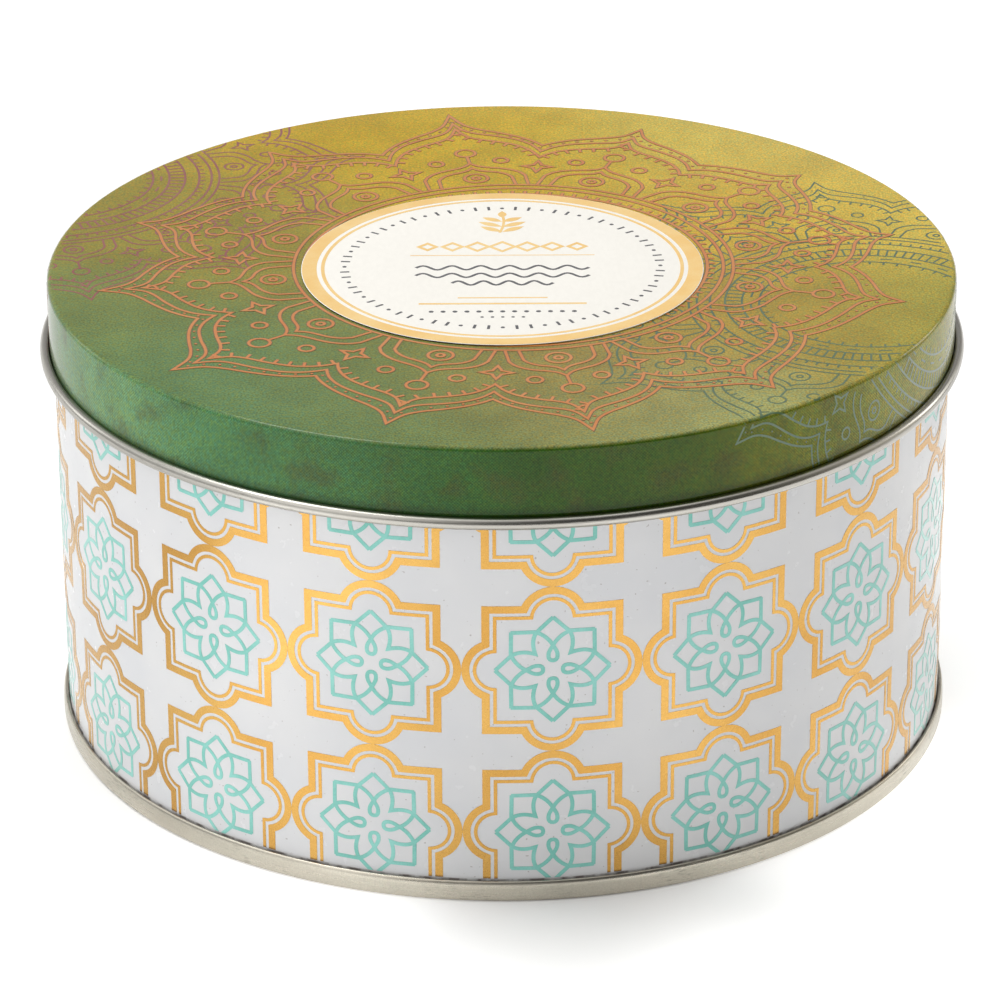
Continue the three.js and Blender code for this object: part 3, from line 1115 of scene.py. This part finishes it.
def make_wax(wicks):
    """The wax: a shallow dish on top that climbs a little up the wall and up each wick."""
    radii = [WAX_R * k / 40 for k in range(1, 40)] + [WAX_R - s * MM for s in (1.0, 0.6, 0.3, 0.1)]
    reach = math.hypot(wicks[0].x, wicks[0].y)
    radii += [reach + s * 0.4 * MM for s in range(-6, 7)]
    foot = wax_low.z
    section = [(0, foot), (WAX_R - 0.5 * MM, foot), (WAX_R, foot + 0.5 * MM), (WAX_R, WAX_TOP)]
    section += [(r, WAX_TOP) for r in sorted(set(radii), reverse=True)] + [(0, WAX_TOP)]
    vertices, faces, _ = turned(section)
    shaped = []
    for x, y, z in vertices:
        if z == WAX_TOP:
            out = math.hypot(x, y)
            wall_climb = math.exp(-(WAX_R - out) / (0.5 * MM))
            wick_climb = sum(math.exp(-(math.hypot(x - w.x, y - w.y) / (1.6 * MM)) ** 2) for w in wicks)
            z += -0.45 * MM + 0.4 * MM * max(wall_climb, min(wick_climb, 1.0))
        shaped.append((x, y, z))
    body = piece("wax_body", "tin", shaped, faces, [soft_wax()])
    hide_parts("wax_fill")


def make_wick(name, replaced, material):
    """Three cotton strands braided flat against each other."""
    low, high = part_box(replaced)
    middle = (low + high) / 2
    strand_r = 0.42 * MM
    swing = (high.x - low.x) / 2 - strand_r - 0.03 * MM
    pitch = 4.2 * MM
    sides = 8
    vertices = []
    faces = []
    count = int((high.z - low.z) / (0.3 * MM))
    for strand in range(3):
        phase = math.tau * strand / 3
        centres = []
        for k in range(count + 1):
            z = low.z + 0.05 * MM + (high.z - low.z - 0.1 * MM) * k / count
            turn = math.tau * (z - low.z) / pitch + phase
            x = middle.x + swing * math.sin(turn)
            y = middle.y + swing * 0.5 * math.sin(2 * turn)
            centres.append(Vector((x, y, z)))
        for k, centre in enumerate(centres):
            along = (centres[min(k + 1, count)] - centres[max(k - 1, 0)]).normalized()
            across = along.cross(Vector((0, 1, 0))).normalized()
            over = along.cross(across)
            size = strand_r * (0.6 if k in (0, count) else 1.0)
            for side in range(sides):
                angle = math.tau * side / sides
                vertices.append(centre + (across * math.cos(angle) + over * math.sin(angle)) * size)
        first = len(vertices) - (count + 1) * sides
        for k in range(count):
            for side in range(sides):
                a = first + k * sides + side
                b = first + k * sides + (side + 1) % sides
                faces.append([a, b, b + sides, a + sides])
        faces.append([first + side for side in reversed(range(sides))])
        faces.append([first + count * sides + side for side in range(sides)])
    braid = piece(name, "tin", vertices, faces, [material], crease=60)
    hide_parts(replaced)
    return middle


def dress(node, material):
    """Gives a CAD node that stays as it is its finished material."""
    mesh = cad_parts[node].data
    mesh.materials.clear()
    mesh.materials.append(material)


make_wall()
make_base()
make_wall_print()
make_lid()
make_lid_print()
make_label()
yarn = cotton()
foam = closed_cell_foam()
wick_places = [make_wick(f"wick_{k}_braid", f"wick_{k}", yarn) for k in (1, 2, 3)]
make_wax(wick_places)
dress("base_seam_compound", rubbery_compound())
for k in (1, 2, 3):
    dress(f"wick_tab_{k}", tab_tin)
    dress(f"wick_pad_{k}", foam)

# ---- floor, light and camera -----------------------------------------------------------------

FLOOR_HALF = 3.0
GLOW_BLUR = 0.00000003
# Places on the light table under the tin, in metres, and how much it glows there.
FLOOR_GLOW = [
    (-0.052, -0.03, 0.05), (-0.022, -0.056, 0.55), (0.004, -0.06, 0), (0.02, -0.058, 0.05),
    (0.04, -0.043, 0.5967), (0.054, -0.026, 1.0333), (0.06, -0.004, 0.4933), (-0.037, -0.045, 0.15),
    (-0.04, -0.06, 0.9), (-0.075, -0.085, 1.3), (-0.008, -0.078, 0.35), (-0.016, -0.116, 0.6),
    (0.03, -0.072, 0.75), (0.051, -0.104, 0.8467), (0.096, -0.055, 0.4933), (0.1, 0.007, 0.4433),
    (-0.103, -0.027, 0.05), (-0.09, 0.032, 0), (-0.1, 0.14, 0), (0.12, 0.1, 0),
    (0, -0.3, 0.3), (0.9, 0, 0.2), (-0.9, 0, 0.2), (0, 0.9, 0.2),
]
STUDIO_BLUR = 0.008
CAMERA_LENS = 172.99
CAMERA_SENSOR = 36.0
CAMERA_AIM = Vector((-0.319, 0.0, 25.884)) * MM
CAMERA_DISTANCE = 590.45 * MM
CAMERA_ELEVATION = 0.43355
CAMERA_ROLL = -0.004581


def make_floor():
    mesh = bpy.data.meshes.new("floor")
    corners = [(x * FLOOR_HALF, y * FLOOR_HALF, 0) for x, y in ((-1, -1), (1, -1), (1, 1), (-1, 1))]
    mesh.from_pydata(corners, [], [(0, 1, 2, 3)])
    white = (1, 1, 1, 1)
    paint = Paint("floor_white", (0.95, 0.95, 0.95, 1), 0.9, Specular_IOR_Level=0.1, Emission_Color=white)
    places = [((x, y, 0), (glow, glow, glow)) for x, y, glow in FLOOR_GLOW]
    glow = paint.patchwork(paint.place, places, GLOW_BLUR)
    paint.put(paint.shader.inputs["Emission Strength"], glow)
    mesh.materials.append(paint.material)
    floor = bpy.data.objects.new("floor", mesh)
    bpy.context.scene.collection.objects.link(floor)


def make_light(name, place, size, power, target=Vector((0, 0, 0.03))):
    data = bpy.data.lights.new(name, "AREA")
    data.shape = "RECTANGLE"
    data.size, data.size_y = size
    data.energy = power
    light = bpy.data.objects.new(name, data)
    light.location = place
    light.rotation_euler = (target - Vector(place)).to_track_quat("-Z", "Y").to_euler()
    bpy.context.scene.collection.objects.link(light)


# How bright the studio is in each direction: soft boxes above and at the left, white sweeps at the
# sides and behind, and a dim room behind the camera.
STUDIO = [
    ((0.0, -0.98, 0.15), (0.12, 0.12, 0.12)), ((0.65, -0.75, 0.15), (0.05, 0.05, 0.05)),
    ((0.0, -0.70, 0.70), (0.02, 0.02, 0.02)), ((0.50, -0.50, 0.70), (0.0, 0.0, 0.0)),
    ((0.82, -0.22, 0.52), (0.15, 0.15, 0.13)), ((-0.52, -0.54, 0.66), (1.85, 1.83, 1.80)),
    ((-0.85, -0.11, 0.50), (1.50, 1.52, 1.52)), ((-0.98, -0.10, 0.12), (0.08, 0.08, 0.08)),
    ((-0.68, 0.72, 0.08), (0.70, 0.70, 0.68)), ((0.98, -0.10, 0.12), (0.10, 0.09, 0.07)),
    ((0.87, 0.41, 0.28), (1.08, 1.03, 0.90)), ((0.68, 0.72, 0.08), (0.22, 0.22, 0.22)),
    ((0.0, 0.90, 0.42), (0.42, 0.42, 0.42)), ((0.0, 0.10, 0.99), (1.50, 1.50, 1.50)),
]


def make_world():
    world = bpy.data.worlds.new("studio")
    world.use_nodes = True
    nodes = Nodes(world.node_tree)
    direction = nodes.node("ShaderNodeTexCoord").outputs["Generated"]
    background = world.node_tree.nodes["Background"]
    nodes.put(background.inputs["Color"], nodes.patchwork(direction, STUDIO, STUDIO_BLUR))
    bpy.context.scene.world = world


def make_camera():
    data = bpy.data.cameras.new("camera")
    data.lens = CAMERA_LENS
    data.sensor_width = CAMERA_SENSOR
    data.clip_start = 0.01
    camera = bpy.data.objects.new("camera", data)
    back = Vector((0, -math.cos(CAMERA_ELEVATION), math.sin(CAMERA_ELEVATION)))
    right = Vector((1, 0, 0))
    up = Vector((0, math.sin(CAMERA_ELEVATION), math.cos(CAMERA_ELEVATION)))
    rolled_right = right * math.cos(CAMERA_ROLL) + up * math.sin(CAMERA_ROLL)
    rolled_up = up * math.cos(CAMERA_ROLL) - right * math.sin(CAMERA_ROLL)
    turn = Matrix((rolled_right, rolled_up, back)).transposed()
    camera.matrix_world = Matrix.Translation(CAMERA_AIM + back * CAMERA_DISTANCE) @ turn.to_4x4()
    bpy.context.scene.collection.objects.link(camera)
    bpy.context.scene.camera = camera


make_floor()
make_world()
make_light("key", (-0.5, 0.2, 1.3), (0.5, 0.5), 5.2)
make_light("right_rim", (0.88, 0.68, 0.46), (0.3, 0.4), 1.1)
make_light("left_rim", (-0.88, 0.62, 0.46), (0.3, 0.4), 0.6)
make_camera()
bpy.context.scene.view_settings.view_transform = "Standard"
